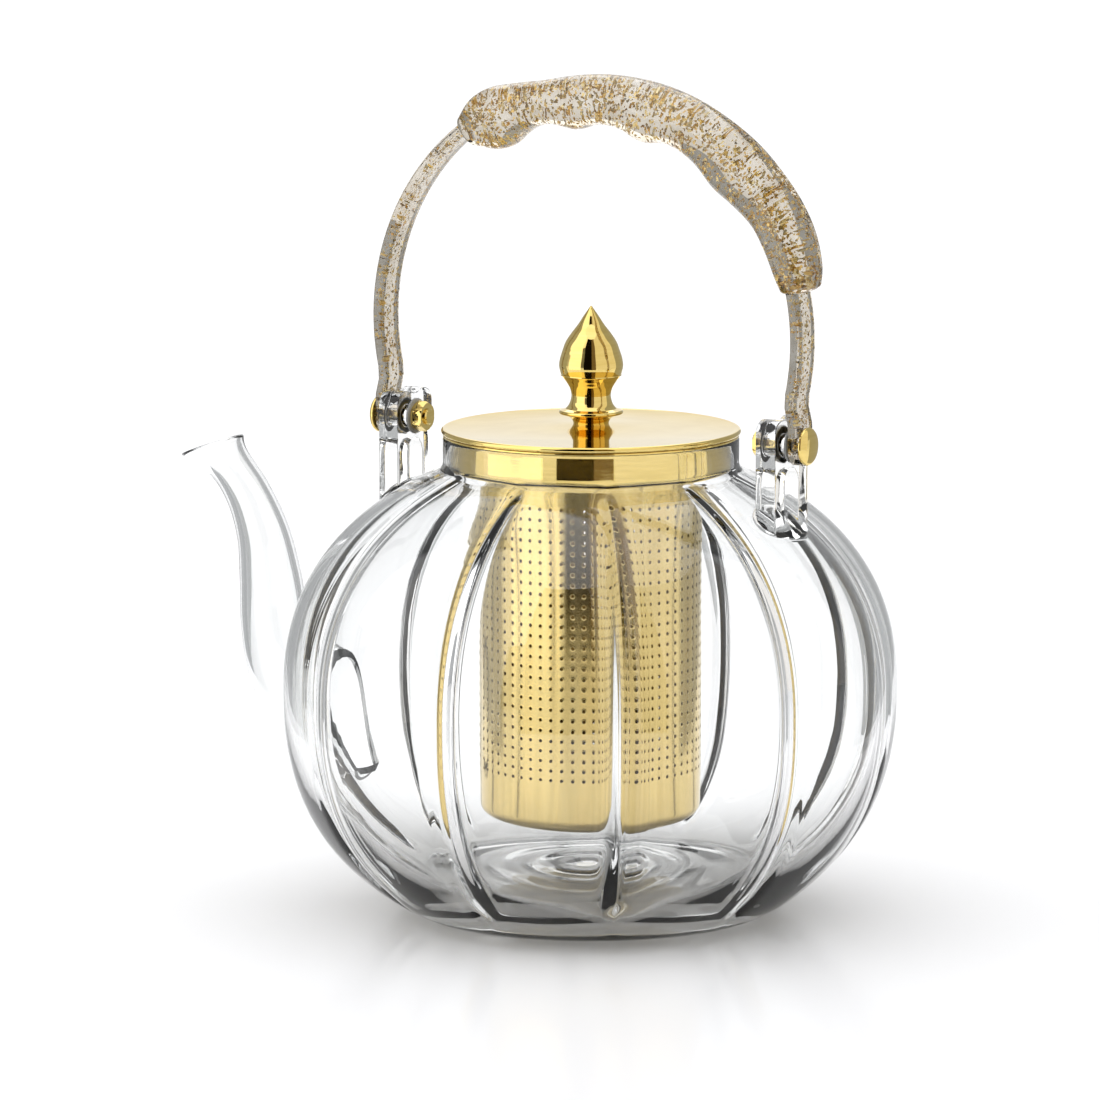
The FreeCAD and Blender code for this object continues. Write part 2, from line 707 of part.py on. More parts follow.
strap = handle_strap()
grip = cut("handle_grip", grip_blank(), strap)


# ---------------------------------------------------------------- checks and files

NODES = [
    "glass_body", "glass_spout", "infuser_basket", "infuser_collar",
    "lid_disc", "lid_ring", "knob", "knob_washer", "knob_screw",
    "handle_strap", "handle_grip",
]
for place in SIDES:
    NODES += [f"lug_{place}", f"pivot_bolt_{place}", f"pivot_washer_{place}", f"pivot_bush_{place}",
              f"inner_washer_{place}", f"pivot_nut_{place}"]

doc.recompute()
for item in doc.Objects:
    if "Invalid" in item.State or "Error" in item.State:
        raise RuntimeError(f"{item.Label} did not build: {item.State}")

pieces = {item.Label: item for item in doc.Objects}
for node in NODES:
    shape = pieces[node].Shape
    if shape.isNull() or not shape.isValid():
        raise RuntimeError(f"{node} has no valid shape")
    if len(shape.Solids) != 1:
        raise RuntimeError(f"{node} has {len(shape.Solids)} solids instead of one")

os.makedirs("parts", exist_ok=True)
for node in NODES:
    pieces[node].Shape.exportStep(f"parts/{node}.step")
    print(f"{node}: {pieces[node].Shape.Volume:.1f} mm3")
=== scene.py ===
import math

import bmesh
import bpy
import numpy as np
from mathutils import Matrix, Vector


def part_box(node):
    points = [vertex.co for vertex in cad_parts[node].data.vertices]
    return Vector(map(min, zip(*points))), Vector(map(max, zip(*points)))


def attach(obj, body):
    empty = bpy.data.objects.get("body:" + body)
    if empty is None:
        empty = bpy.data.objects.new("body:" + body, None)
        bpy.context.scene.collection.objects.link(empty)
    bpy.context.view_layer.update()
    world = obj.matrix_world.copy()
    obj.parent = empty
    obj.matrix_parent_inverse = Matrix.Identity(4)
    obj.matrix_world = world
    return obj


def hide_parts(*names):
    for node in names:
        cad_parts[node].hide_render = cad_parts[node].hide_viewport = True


# Looks of the lobed glass teapot. Metres; the frame's own axes: +Z up, -X towards the spout.
# Profiles and sections are written in millimetres, as (radius, height) or as named sizes, and MM
# turns them into metres when a mesh is made.

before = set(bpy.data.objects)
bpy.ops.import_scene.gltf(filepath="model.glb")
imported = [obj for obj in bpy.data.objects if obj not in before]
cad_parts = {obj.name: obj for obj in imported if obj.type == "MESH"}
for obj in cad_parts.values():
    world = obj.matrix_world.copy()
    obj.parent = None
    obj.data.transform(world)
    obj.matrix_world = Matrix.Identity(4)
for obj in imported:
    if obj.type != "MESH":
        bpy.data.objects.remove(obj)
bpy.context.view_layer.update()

MM = 0.001
RANDOM = np.random.default_rng(20)


def top_of(node):
    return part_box(node)[1].z / MM


def bottom_of(node):
    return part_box(node)[0].z / MM


# Heights read from the frame, in millimetres.
MOUTH = top_of("glass_body")
BRIM = 0.6
COLLAR_BOTTOM = top_of("infuser_basket") - BRIM
COLLAR_TOP = top_of("infuser_collar")
BASKET_BOTTOM = bottom_of("infuser_basket")
LID_BOTTOM = bottom_of("lid_disc")
LID_TOP = top_of("lid_disc")
PIVOT = (top_of("pivot_bolt_rear") + bottom_of("pivot_bolt_rear")) / 2


# ---------------------------------------------------------------- mesh helpers

def smooth_mesh(mesh, sharp_degrees=32):
    mesh.polygons.foreach_set("use_smooth", [True] * len(mesh.polygons))
    mesh.set_sharp_from_angle(angle=math.radians(sharp_degrees))
    mesh.update()


def new_object(name, points, faces, sharp_degrees=32):
    """An object from points in millimetres and faces as lists of point numbers."""
    mesh = bpy.data.meshes.new(name)
    mesh.from_pydata((np.asarray(points, float) * MM).tolist(), [], faces)
    mesh.validate()
    edit = bmesh.new()
    edit.from_mesh(mesh)
    bmesh.ops.recalc_face_normals(edit, faces=edit.faces)
    edit.to_mesh(mesh)
    edit.free()
    smooth_mesh(mesh, sharp_degrees)
    piece = bpy.data.objects.new(name, mesh)
    bpy.context.scene.collection.objects.link(piece)
    return piece


def grid_faces(rows, columns):
    """Quads between rows of points that each close into a ring."""
    faces = []
    for row in range(rows - 1):
        for column in range(columns):
            after = (column + 1) % columns
            low, high = row * columns, (row + 1) * columns
            faces.append((low + column, low + after, high + after, high + column))
    return faces


def capped_grid(name, rings, sharp_degrees=32):
    """A closed solid from rings of points, with a fan at each end."""
    rows, columns = rings.shape[:2]
    points = rings.reshape(-1, 3).tolist()
    faces = grid_faces(rows, columns)
    for row in (0, rows - 1):
        points.append(rings[row].mean(axis=0).tolist())
        middle = len(points) - 1
        for column in range(columns):
            faces.append((row * columns + column, row * columns + (column + 1) % columns, middle))
    return new_object(name, points, faces, sharp_degrees)


def round_corners(profile, radii, steps=5):
    """Rounds the corners of a closed (radius, height) outline, as much as arcs of the given radii would."""
    count = len(profile)
    result = []
    for number, corner in enumerate(profile):
        radius = radii.get(number, 0.0)
        here = np.array(corner, float)
        if radius == 0.0:
            result.append(here)
            continue
        before = np.array(profile[number - 1], float) - here
        after = np.array(profile[(number + 1) % count], float) - here
        before, after = before / np.linalg.norm(before), after / np.linalg.norm(after)
        half = math.acos(np.clip(before @ after, -1, 1)) / 2
        start, end = here + before * radius / math.tan(half), here + after * radius / math.tan(half)
        for step in range(steps + 1):
            share = step / steps
            result.append((1 - share) ** 2 * start + 2 * share * (1 - share) * here + share ** 2 * end)
    return np.array(result)


def lathe(name, profile, segments=160, axis="Z", sharp_degrees=32, closed=True):
    """Turns an outline of (radius, height) about Z, or about X with heights along X."""
    profile = np.asarray(profile, float)
    turn = np.linspace(0, 2 * math.pi, segments, endpoint=False)
    radius, height = profile[:, 0:1], profile[:, 1:2]
    across, along = radius * np.cos(turn), radius * np.sin(turn)
    level = np.repeat(height, segments, axis=1)
    if axis == "Z":
        rings = np.stack([across, along, level], axis=2)
    else:
        rings = np.stack([level, across, along + PIVOT], axis=2)
    if not closed:
        return capped_grid(name, rings, sharp_degrees)
    rows = len(profile)
    faces = grid_faces(rows, segments)
    for column in range(segments):
        after = (column + 1) % segments
        last = (rows - 1) * segments
        faces.append((last + column, last + after, after, column))
    return new_object(name, rings.reshape(-1, 3), faces, sharp_degrees)


def combine(target, tool, how):
    """Applies a boolean of tool to target and removes tool."""
    modifier = target.modifiers.new("combine", "BOOLEAN")
    modifier.operation = how
    modifier.solver = "MANIFOLD"
    modifier.object = tool
    depsgraph = bpy.context.evaluated_depsgraph_get()
    depsgraph.update()
    mesh = bpy.data.meshes.new_from_object(target.evaluated_get(depsgraph))
    if len(mesh.polygons) == 0:
        raise RuntimeError(f"{how} of {tool.name} with {target.name} left nothing")
    target.modifiers.clear()
    old = target.data
    target.data = mesh
    mesh.name = target.name
    bpy.data.meshes.remove(old)
    bpy.data.objects.remove(tool)
    return target


def bevelled(piece, width, segments=3, angle=30):
    """Rounds the sharp edges of a piece and applies the result."""
    modifier = piece.modifiers.new("round", "BEVEL")
    modifier.width = width * MM
    modifier.segments = segments
    modifier.limit_method = "ANGLE"
    modifier.angle_limit = math.radians(angle)
    depsgraph = bpy.context.evaluated_depsgraph_get()
    depsgraph.update()
    mesh = bpy.data.meshes.new_from_object(piece.evaluated_get(depsgraph))
    piece.modifiers.clear()
    piece.data = mesh
    return piece


def between(rows, steps):
    """A smooth run through the rows of a table: Catmull-Rom, with the ends held."""
    rows = np.asarray(rows, float)
    padded = np.vstack([2 * rows[0] - rows[1], rows, 2 * rows[-1] - rows[-2]])
    result = []
    for index in range(len(rows) - 1):
        a, b, c, d = padded[index:index + 4]
        for step in range(steps):
            t = step / steps
            result.append(0.5 * (2 * b + (c - a) * t + (2 * a - 5 * b + 4 * c - d) * t ** 2
                                 + (3 * b - a - 3 * c + d) * t ** 3))
    result.append(rows[-1])
    return np.array(result)


# ---------------------------------------------------------------- materials

def material(name, **sockets):
    """A Principled material; numbers are set straight on the shader's sockets."""
    made = bpy.data.materials.new(name)
    made.use_nodes = True
    shader = made.node_tree.nodes["Principled BSDF"]
    for socket, number in sockets.items():
        shader.inputs[socket.replace("_", " ")].default_value = number
    return made, made.node_tree, shader


def node(tree, kind, **settings):
    made = tree.nodes.new(kind)
    for name, value in settings.items():
        if name in made.inputs:
            made.inputs[name].default_value = value
        else:
            setattr(made, name, value)
    return made


def ramp(tree, source, stops):
    """Colour ramp through (position, colour) stops."""
    made = tree.nodes.new("ShaderNodeValToRGB")
    elements = made.color_ramp.elements
    while len(elements) > 1:
        elements.remove(elements[-1])
    elements[0].position, elements[0].color = stops[0][0], (*stops[0][1], 1)
    for position, colour in stops[1:]:
        elements.new(position).color = (*colour, 1)
    tree.links.new(source, made.inputs["Fac"])
    return made


def object_noise(tree, scale, stretch=(1, 1, 1), detail=3.0):
    """Noise in object space, stretched along an axis for brushed marks."""
    where = node(tree, "ShaderNodeTexCoord")
    mapping = node(tree, "ShaderNodeMapping")
    mapping.inputs["Scale"].default_value = stretch
    noise = node(tree, "ShaderNodeTexNoise", Scale=scale, Detail=detail)
    tree.links.new(where.outputs["Object"], mapping.inputs["Vector"])
    tree.links.new(mapping.outputs["Vector"], noise.inputs["Vector"])
    return noise


def bump(tree, shader, source, strength, distance):
    made = node(tree, "ShaderNodeBump", Strength=strength, Distance=distance)
    tree.links.new(source, made.inputs["Height"])
    tree.links.new(made.outputs["Normal"], shader.inputs["Normal"])


def clear_glass():
    """Blown borosilicate: clear, with a slow waviness that the reflections show."""
    made, tree, shader = material("clear_glass", Roughness=0.0, IOR=1.47, Transmission_Weight=1.0)
    noise = object_noise(tree, 45.0, (1, 1, 0.5), 1.0)
    tint = ramp(tree, noise.outputs["Fac"], [(0.3, (0.985, 0.992, 0.99)), (0.7, (0.995, 0.998, 0.996))])
    tree.links.new(tint.outputs["Color"], shader.inputs["Base Color"])
    bump(tree, shader, noise.outputs["Fac"], 0.12, 0.0006)
    return made


def acrylic():
    """Clear cast acrylic, faintly smoky, with small unevenness from casting."""
    made, tree, shader = material("acrylic", Roughness=0.02, IOR=1.46, Transmission_Weight=1.0)
    noise = object_noise(tree, 160.0, (1, 1, 1), 2.0)
    tint = ramp(tree, noise.outputs["Fac"], [(0.3, (0.52, 0.46, 0.37)), (0.7, (0.70, 0.66, 0.59))])
    tree.links.new(tint.outputs["Color"], shader.inputs["Base Color"])
    bump(tree, shader, noise.outputs["Fac"], 0.12, 0.0003)
    return made


def gold_foil():
    """Foil flakes: each one has its own tone between pale and deep gold."""
    made, tree, shader = material("gold_foil", Metallic=1.0, Roughness=0.3)
    each = node(tree, "ShaderNodeNewGeometry")
    tone = ramp(tree, each.outputs["Random Per Island"], [
        (0.0, (0.62, 0.38, 0.1)), (0.3, (0.95, 0.67, 0.22)), (0.7, (1.0, 0.84, 0.42)),
        (1.0, (1.0, 0.93, 0.66))])
    tree.links.new(tone.outputs["Color"], shader.inputs["Base Color"])
    return made


def gold(name, roughness, dark, light, stretch, scale, marks):
    """Gold-coated steel with fine turning or brushing marks in tone, gloss and relief."""
    made, tree, shader = material(name, Metallic=1.0)
    noise = object_noise(tree, scale, stretch, 4.0)
    tone = ramp(tree, noise.outputs["Fac"], [(0.35, dark), (0.65, light)])
    tree.links.new(tone.outputs["Color"], shader.inputs["Base Color"])
    gloss = ramp(tree, noise.outputs["Fac"], [
        (0.3, (roughness * 0.8,) * 3), (0.7, (roughness * 1.25,) * 3)])
    tree.links.new(gloss.outputs["Color"], shader.inputs["Roughness"])
    bump(tree, shader, noise.outputs["Fac"], marks, 0.00005)
    return made


def silicone(name, clearness, roughness):
    """Moulded silicone, from milky to clear."""
    made, tree, shader = material(name, Roughness=roughness, IOR=1.41, Transmission_Weight=clearness)
    noise = object_noise(tree, 700.0, (1, 1, 1), 2.0)
    tint = ramp(tree, noise.outputs["Fac"], [(0.3, (0.88, 0.88, 0.86)), (0.7, (0.96, 0.96, 0.94))])
    tree.links.new(tint.outputs["Color"], shader.inputs["Base Color"])
    bump(tree, shader, noise.outputs["Fac"], 0.2, 0.0001)
    return made


GLASS = clear_glass()
ACRYLIC = acrylic()
FOIL = gold_foil()
POLISHED = gold("polished_gold", 0.045, (0.79, 0.59, 0.19), (0.85, 0.65, 0.23), (1, 1, 12), 120.0, 0.04)
SATIN = gold("satin_gold", 0.13, (0.74, 0.56, 0.22), (0.80, 0.62, 0.26), (1, 1, 0.05), 500.0, 0.05)
SILICONE = silicone("silicone", 0.55, 0.35)
CLEAR_SILICONE = silicone("clear_silicone", 1.0, 0.02)


def finish_piece(piece, look, body, slot_name, *nodes):
    """Gives a piece its material and body and hides the CAD nodes it stands for; slot_name is not used."""
    piece.data.materials.clear()
    piece.data.materials.append(look)
    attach(piece, body)
    if nodes:
        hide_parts(*nodes)
    return piece


# ---------------------------------------------------------------- glass pot

LOBES = 10
LOBE_BULGE = 1.5
# Depth and half width of the pressed groove outside, and of the rib of thicker glass behind it.
OUTER_GROOVE = (1.4, 1.9)
INNER_RIB = (3.6, 2.7)
BELLY_RADIUS = 75.0
BELLY_WALL = 2.2
BELLY_HEIGHT = 55.0
BELLY_ROWS = 44
NECK_RADIUS = 36.0
NECK_BORE = 34.7
NECK_FILLET = 2.5
COLUMNS_PER_HALF_LOBE = 14
GROOVE_CROWDING = 1.8


def belly_levels(radius, lower_reach, upper_reach, bottom, neck, count):
    """(radius, height) up a superellipse belly and through the hollow curve into the neck."""
    lower_power, upper_power = 2.4, 2.2
    lean = math.radians(65)
    first = math.asin(((BELLY_HEIGHT - bottom) / lower_reach) ** (lower_power / 2))
    last = math.acos(((neck + NECK_FILLET * (1 - math.cos(lean))) / radius) ** (upper_power / 2))
    levels = []
    for angle in np.linspace(first, 0, count, endpoint=False):
        across = radius * math.cos(angle) ** (2 / lower_power)
        levels.append((across, BELLY_HEIGHT - lower_reach * math.sin(angle) ** (2 / lower_power)))
    for angle in np.linspace(0, last, count):
        across = radius * math.cos(angle) ** (2 / upper_power)
        levels.append((across, BELLY_HEIGHT + upper_reach * math.sin(angle) ** (2 / upper_power)))
    centre = levels[-1][1] + NECK_FILLET * math.sin(lean)
    for angle in np.radians([50, 35, 18, 0]):
        levels.append((neck + NECK_FILLET * (1 - math.cos(angle)), centre - NECK_FILLET * math.sin(angle)))
    return np.array(levels)


def lobe_angles():
    """Angles round the pot, closer together at the grooves, and each one's distance from a groove."""
    half_pitch = math.pi / LOBES
    angles, offsets = [], []
    for lobe in range(LOBES):
        for column in range(-COLUMNS_PER_HALF_LOBE, COLUMNS_PER_HALF_LOBE):
            offset = half_pitch * (1 - abs(column) / COLUMNS_PER_HALF_LOBE) ** GROOVE_CROWDING
            angles.append(2 * half_pitch * lobe + math.copysign(half_pitch - offset, column))
            offsets.append(offset)
    return np.array(angles), np.array(offsets)


def lobed_rings(levels, groove):
    """Rings with the lobes pressed in by a groove of (depth, half width), fading at foot and neck."""
    depth, half_width = groove
    fade_at_foot, fade_at_neck, least_share = 9.0, 5.0, 0.35
    angles, offsets = lobe_angles()
    half_pitch = math.pi / LOBES
    lowest, highest = levels[0][1], levels[-1][1]
    rings = []
    for radius, height in levels:
        rise = min(max((height - lowest) / fade_at_foot, 0.0), 1.0)
        fall = min(max((highest - height) / fade_at_neck, 0.0), 1.0)
        share = rise ** 2 * (3 - 2 * rise) * fall ** 2 * (3 - 2 * fall)
        share *= least_share + (1 - least_share) * radius / BELLY_RADIUS
        swell = LOBE_BULGE * (1 + np.cos(math.pi * offsets / half_pitch)) / 2
        pinch = depth * np.exp(-(offsets * radius / half_width) ** 2)
        across = radius - share * (swell + pinch)
        rings.append(np.stack([across * np.cos(angles), across * np.sin(angles),
                               np.full_like(angles, height)], axis=1))
    return np.array(rings)


def plain_rings(levels):
    angles, _ = lobe_angles()
    return np.array([np.stack([radius * np.cos(angles), radius * np.sin(angles),
                               np.full_like(angles, height)], axis=1) for radius, height in levels])


def pot_outside():
    """Outside of the pot: pushed-up base with pressed rings, foot ring, lobes, neck and mouth."""
    levels = belly_levels(BELLY_RADIUS, 62.5, 59.0, 0.0, NECK_RADIUS, BELLY_ROWS)
    base = [(3.0, 1.75), (7.0, 1.45), (11.0, 1.75), (15.0, 1.35), (19.0, 1.6), (24.0, 1.15), (29.0, 1.2),
            (33.0, 0.7), (37.0, 0.1), (39.0, 0.0), (41.5, 0.0)]
    mouth = [(36.0, MOUTH - 0.7), (35.9, MOUTH - 0.3), (35.7, MOUTH - 0.08), (35.4, MOUTH)]
    rings = [plain_rings(between(base, 3)), lobed_rings(levels, OUTER_GROOVE), plain_rings(mouth)]
    return capped_grid("pot_glass", np.concatenate(rings))


def pot_cavity():
    """Inside of the pot, with the slightly domed and rippled floor of a mould-blown piece."""
    levels = belly_levels(BELLY_RADIUS - BELLY_WALL, 56.0, 57.2, 5.0, NECK_BORE, BELLY_ROWS)
    floor = [(3.0, 6.7), (8.0, 6.1), (13.0, 6.6), (18.0, 5.9), (23.0, 6.1), (28.0, 5.4), (32.0, 5.3),
             (levels[0][0] - 2.5, 5.0)]
    above = [(NECK_BORE, MOUTH + 2)]
    rings = [plain_rings(between(floor, 3)), lobed_rings(levels, INNER_RIB), plain_rings(above)]
    return capped_grid("pot_cavity", np.concatenate(rings))


# The spout's middle line from inside the pot's wall to the lip: (x, z, lean of the tube from the
# horizontal in degrees, half height of its section, half width of its section).
SPOUT_SECTIONS = [
    (-62.0, 36.0, 32, 19.0, 9.6), (-71.5, 41.5, 34, 18.2, 9.4), (-80.5, 46.5, 44, 14.5, 8.9),
    (-87.6, 54.5, 63, 10.8, 8.5), (-90.6, 64.0, 80, 8.8, 8.3), (-91.9, 75.0, 84, 7.7, 7.7),
    (-94.0, 85.5, 73, 6.6, 6.6), (-98.3, 95.0, 59, 5.7, 5.7), (-104.0, 102.3, 48, 5.6, 5.8),
    (-108.7, 106.6, 70, 8.6, 7.0),
]
SPOUT_WALL = 1.7
LIP_ROUNDING = 0.55


def spout_tube(name, shrink, overrun, rounding):
    """Smooth tube through the sections; near the lip it closes or opens by the lip's rounding."""
    sections = between(SPOUT_SECTIONS, 8)
    turn = np.linspace(0, 2 * math.pi, 56, endpoint=False)
    rings = []
    for number, (x, z, lean, half_height, half_width) in enumerate(sections):
        slope = math.radians(lean)
        along = np.array([-math.cos(slope), 0, math.sin(slope)])
        upright = np.array([math.sin(slope), 0, math.cos(slope)])
        centre = np.array([x, 0, z])
        if number == 0:
            centre = centre - along * overrun
        tall, wide = half_height - shrink, half_width - shrink
        rings.append(centre + np.outer(np.cos(turn), upright * tall) + np.outer(np.sin(turn), (0, wide, 0)))
    # The last ring gives way to a quarter round, which is the lip.
    rings.pop()
    for share in (0.35, 0.7, 0.9, 1.0):
        change = rounding * (1 - math.sqrt(max(1 - share ** 2, 0.0)))
        middle = centre - along * abs(rounding) * (1 - share)
        tall, wide = half_height - shrink - change, half_width - shrink - change
        rings.append(middle + np.outer(np.cos(turn), upright * tall) + np.outer(np.sin(turn), (0, wide, 0)))
    if overrun:
        rings.append(rings[-1] + along * overrun)
    return capped_grid(name, np.array(rings))


LUG_MIDDLE = 52.5
LUG_THICKNESS = 5.4
LUG_BORE = 2.7


def lug_blank(name, side):
    """Two posts and a round-shouldered head, with every edge fire-polished."""
    half, window, shoulder = 8.2, 3.6, 3.4
    foot, crown, window_top = PIVOT - 24, PIVOT + 6.5, PIVOT - 9.0
    saddle_half, saddle_depth = 4, 0.9
    outline = [(-half, foot), (-window, foot), (-window, window_top)]
    arch = np.radians([30, 60, 90, 120, 150])
    outline += [(-window * math.cos(a), window_top + window * math.sin(a)) for a in arch]
    outline += [(window, window_top), (window, foot), (half, foot)]
    turns = np.radians(np.linspace(0, 90, 7))
    inward, under = half - shoulder, crown - shoulder
    outline += [(inward + shoulder * math.cos(a), under + shoulder * math.sin(a)) for a in turns]
    for across in range(saddle_half, -saddle_half - 1, -1):
        dip = saddle_depth * (1 + math.cos(math.pi * across / saddle_half)) / 2
        outline.append((across, crown - dip))
    outline += [(-inward - shoulder * math.sin(a), under + shoulder * math.cos(a)) for a in turns]
    count = len(outline)
    points, faces = [], []
    for offset in (-LUG_THICKNESS / 2, LUG_THICKNESS / 2):
        points += [(side * LUG_MIDDLE + offset, y, z) for y, z in outline]
    faces.append(tuple(range(count)))
    faces.append(tuple(range(count, 2 * count)))
    for number in range(count):
        after = (number + 1) % count
        faces.append((number, after, count + after, count + number))
    blank = new_object(name, points, faces)
    ends = [(LUG_BORE, side * (LUG_MIDDLE - 6)), (LUG_BORE, side * (LUG_MIDDLE + 6))]
    combine(blank, lathe(name + "_bore", ends, 40, "X", closed=False), "DIFFERENCE")
    return bevelled(blank, 1.6, 4, 40)


def lug_foot(name, side):
    """Oval pad of melted glass where a lug meets the shoulder."""
    turn = np.linspace(0, 2 * math.pi, 40, endpoint=False)
    lean = math.radians(38)
    out = np.array([side * math.sin(lean), 0, math.cos(lean)])
    down_slope = np.array([side * math.cos(lean), 0, -math.sin(lean)])
    centre = np.array([side * (LUG_MIDDLE - 0.4), 0, 98.6])
    thick, long, wide = 2.4, 6.6, 10.4
    rings = []
    for height in np.radians(np.linspace(-86, 86, 17)):
        spread = math.cos(height)
        rings.append(centre + out * thick * math.sin(height)
                     + np.outer(np.cos(turn) * spread * long, down_slope)
                     + np.outer(np.sin(turn) * spread * wide, (0, 1, 0)))
    return capped_grid(name, np.array(rings), 60)


def make_pot():
    pot = pot_outside()
    combine(pot, spout_tube("spout_outside", 0.0, 0.0, LIP_ROUNDING), "UNION")
    for place, side in (("front", -1), ("rear", 1)):
        combine(pot, lug_blank(f"lug_{place}_blank", side), "UNION")
        combine(pot, lug_foot(f"lug_{place}_foot", side), "UNION")
    combine(pot, pot_cavity(), "DIFFERENCE")
    combine(pot, spout_tube("spout_bore", SPOUT_WALL, 1.0, -LIP_ROUNDING), "DIFFERENCE")
    smooth_mesh(pot.data)
    finish_piece(pot, GLASS, "pot", "clear_glass", "glass_body", "glass_spout", "lug_front", "lug_rear")


make_pot()


# ---------------------------------------------------------------- infuser

BASKET_RADIUS = 27.1
SHEET = 0.5
HOLE_COLUMNS = 62
HOLE_ROWS = 27
HOLE_PITCH = 2.53
FIRST_ROW = 35.3
HOLE_RADIUS = 0.45
RIM_RADIUS = 0.66
RIM_MARGIN = 0.14
RIM_HEIGHT = 0.025
SEAM_COLUMN = 38
HOLE_SIDES = 8


def infuser_drum():
    """Drum of thin sheet with real punched holes, a plain seam column and a rounded bottom edge."""
    columns = HOLE_COLUMNS
    cell = 2 * math.pi / columns
    points, faces = [], []

    def on_wall(angle, height, radius):
        points.append((radius * math.cos(angle), radius * math.sin(angle), height))
        return len(points) - 1

    circle = [(math.cos(a), math.sin(a)) for a in np.linspace(0, 2 * math.pi, HOLE_SIDES, endpoint=False)]
    square = [(across / max(abs(across), abs(up)), up / max(abs(across), abs(up))) for across, up in circle]
    outer, inner = BASKET_RADIUS, BASKET_RADIUS - SHEET
    for row in range(HOLE_ROWS):
        height = FIRST_ROW + row * HOLE_PITCH
        for column in range(columns):
            angle = column * cell
            punched = column != SEAM_COLUMN
            loops = []
            for radius, shape, reach in ((outer, square, None), (outer, circle, RIM_RADIUS + RIM_MARGIN),
                                         (outer, circle, RIM_RADIUS),
                                         (outer + RIM_HEIGHT, circle, (RIM_RADIUS + HOLE_RADIUS) / 2),
                                         (outer, circle, HOLE_RADIUS), (inner, circle, HOLE_RADIUS),
                                         (inner, square, None)):
                loop = []
                for across, up in shape:
                    if reach is None:
                        loop.append(on_wall(angle + across * cell / 2, height + up * HOLE_PITCH / 2, radius))
                    else:
                        lift = 0.0 if punched else outer - radius if radius > outer else 0.0
                        turned = angle + across * reach / radius
                        loop.append(on_wall(turned, height + up * reach, radius + lift))
                loops.append(loop)
            if punched:
                pairs = zip(loops[:-1], loops[1:])
            else:
                pairs = []
                faces.append(tuple(loops[0]))
                faces.append(tuple(reversed(loops[-1])))
            for first, second in pairs:
                for side in range(HOLE_SIDES):
                    after = (side + 1) % HOLE_SIDES
                    faces.append((first[side], first[after], second[after], second[side]))
    low = FIRST_ROW - HOLE_PITCH / 2
    high = low + HOLE_ROWS * HOLE_PITCH
    corner = 3.5
    turns = np.radians(np.linspace(0, 90, 7))
    outside = [(0.01, BASKET_BOTTOM)]
    corner_height = BASKET_BOTTOM + corner
    outside += [(outer - corner + corner * math.sin(a), corner_height - corner * math.cos(a)) for a in turns]
    outside.append((outer, low))
    inside = [(inner, low)]
    inner_corner = corner - SHEET
    inside += [(inner - inner_corner + inner_corner * math.cos(a),
                corner_height - inner_corner * math.sin(a)) for a in turns]
    inside.append((0.01, BASKET_BOTTOM + SHEET))
    around = 2 * columns
    drum_top = COLLAR_BOTTOM + BRIM
    for strip in (outside, inside, [(outer, high), (outer, drum_top)], [(inner, drum_top), (inner, high)]):
        first = len(points)
        for radius, height in strip:
            for number in range(around):
                on_wall((number + 1) * cell / 2, height, radius)
        faces += [tuple(first + corner_number for corner_number in face)
                  for face in grid_faces(len(strip), around)]
    drum = new_object("infuser_drum", points, faces, 40)
    edit = bmesh.new()
    edit.from_mesh(drum.data)
    bmesh.ops.remove_doubles(edit, verts=edit.verts, dist=0.00001)
    loose = [vertex for vertex in edit.verts if not vertex.link_faces]
    bmesh.ops.delete(edit, geom=loose, context="VERTS")
    bmesh.ops.holes_fill(edit, edges=[edge for edge in edit.edges if edge.is_boundary], sides=0)
    bmesh.ops.recalc_face_normals(edit, faces=edit.faces)
    edit.to_mesh(drum.data)
    edit.free()
    smooth_mesh(drum.data, 40)
    return drum


def infuser_band():
    """Brim, band inside the neck and the flange that rests on the mouth, in one polished piece."""
    wall = BRIM
    radius = 34.5
    seat = COLLAR_TOP - 0.5
    profile = [(BASKET_RADIUS + 0.02, COLLAR_BOTTOM), (radius, COLLAR_BOTTOM), (radius, seat), (36.0, seat),
               (36.0, COLLAR_TOP), (radius - wall, COLLAR_TOP), (radius - wall, COLLAR_BOTTOM + wall),
               (BASKET_RADIUS + 0.02, COLLAR_BOTTOM + wall)]
    rounded = round_corners(profile, {1: 0.9, 4: 0.2, 5: 0.25, 6: 0.3, 3: 0.15})
    return lathe("infuser_band", rounded, 224)


finish_piece(infuser_drum(), SATIN, "infuser", "satin_gold", "infuser_basket")
finish_piece(infuser_band(), POLISHED, "infuser", "polished_gold", "infuser_collar")


# ---------------------------------------------------------------- lid and knob

def lid_plate():
    """Lid plate that rises slightly to a flat land, with a rolled rim."""
    rim, outer, land = 1.4, 36.4, 4.8
    inside = outer - rim
    turns = np.radians(np.linspace(-90, 90, 13))
    half = rim / 2
    roll = [(outer - half + half * math.cos(a), LID_BOTTOM + half + half * math.sin(a)) for a in turns]
    profile = [(2.1, LID_TOP - 0.7), (land, LID_TOP - 0.7), (inside - 0.6, LID_BOTTOM + rim - 0.9)]
    profile += [(inside, LID_BOTTOM + 0.25), (inside + 0.3, LID_BOTTOM)] + roll
    profile += [(inside + 0.2, LID_BOTTOM + rim - 0.04), (inside - 0.5, LID_BOTTOM + rim - 0.2),
                (land + 1, LID_TOP - 0.05), (land, LID_TOP), (2.1, LID_TOP)]
    return lathe("lid_plate", profile, 224)


